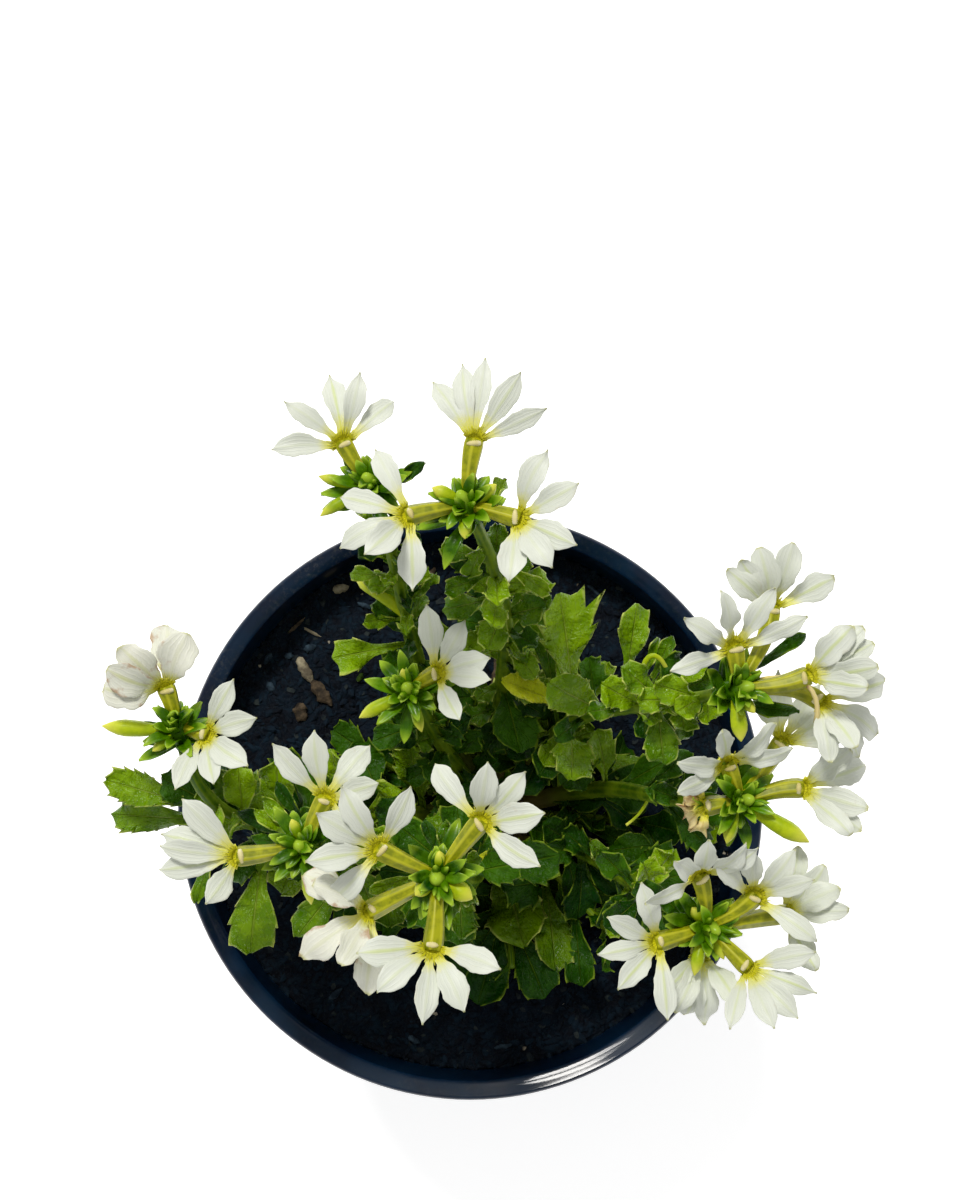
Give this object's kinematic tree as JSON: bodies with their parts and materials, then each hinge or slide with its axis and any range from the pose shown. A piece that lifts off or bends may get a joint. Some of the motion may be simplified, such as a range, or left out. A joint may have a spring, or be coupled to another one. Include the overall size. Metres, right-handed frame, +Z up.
{
  "type": "potted fan flower",
  "caption": "White fan flower in a round nursery pot: leafy stems rise from a short crown and end in heads of fan-shaped flowers.",
  "frame": {"origin": "middle of the pot's flat underside", "axes": "+Z up along the pot's axis; +Y to the back of the plant, the top of the picture; +X to its right"},
  "size_m": [0.1593, 0.1545, 0.2237],
  "materials": {
    "pot": "smooth moulded plastic with a satin rim",
    "potting_mix": "damp dark bark-based mix",
    "crown": "rough young bark",
    "stem": "smooth green stem",
    "leaf": "waxy green leaves with pale teeth",
    "flower": "thin white petals with a yellow-green throat"
  },
  "bodies": {
    "root": {"pot": "pot", "potting_mix": "potting_mix", "crown": "crown", "stem_back": "stem", "stem_back_left": "stem", "stem_left": "stem", "stem_front_left": "stem", "stem_front": "stem", "stem_middle": "stem", "stem_back_right": "stem", "stem_right": "stem", "stem_front_right": "stem", "shoot_back": "leaf", "shoot_back_left": "leaf", "shoot_left": "leaf", "shoot_front_left": "leaf", "shoot_front": "leaf", "shoot_middle": "leaf", "shoot_back_right": "leaf", "shoot_right": "leaf", "shoot_front_right": "leaf", "shoot_low_right": "leaf", "shoot_low_back_right": "leaf", "shoot_low_back": "leaf", "shoot_low_back_left": "leaf", "shoot_low_left": "leaf", "shoot_low_front_left": "leaf", "shoot_low_front_middle": "leaf", "shoot_low_front": "leaf", "shoot_low_front_right": "leaf", "head_back": "flower", "head_back_left": "flower", "head_left": "flower", "head_front_left": "flower", "head_front": "flower", "head_middle": "flower", "head_back_right": "flower", "head_right": "flower", "head_front_right": "flower"}
  },
  "joints": []
}
